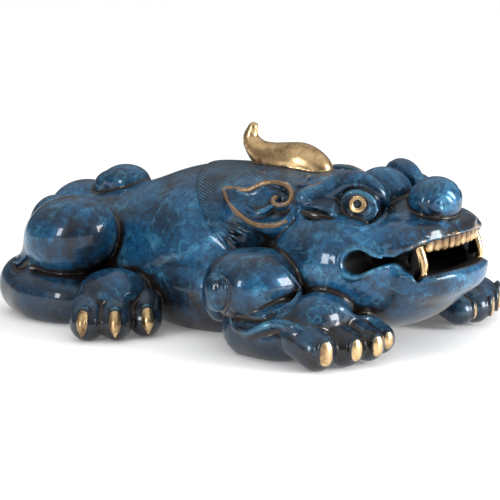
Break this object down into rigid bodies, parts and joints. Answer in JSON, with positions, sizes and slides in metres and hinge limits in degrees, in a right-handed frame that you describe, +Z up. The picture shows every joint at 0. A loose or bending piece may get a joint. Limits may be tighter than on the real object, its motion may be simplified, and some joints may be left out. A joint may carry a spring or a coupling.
{
  "type": "pixiu figure",
  "caption": "Crouching horned guardian beast cast in brass, with a dark blue patina and polished horn, claws, teeth and eyes; it stands flat on its belly and paws.",
  "frame": {"origin": "centre of the bounding box, on the plane that the figure stands on", "axes": "+X the way the figure faces, +Y to its left, +Z up"},
  "size_m": [0.2982, 0.2236, 0.1148],
  "materials": {
    "blue_bronze": "cast brass under a mottled dark blue patina, with browner hollows and a clear gloss lacquer",
    "polished_brass": "bare brass, polished, a little tarnished in its hollows"
  },
  "bodies": {
    "root": {"pixiu_figure": "blue_bronze"}
  },
  "joints": []
}
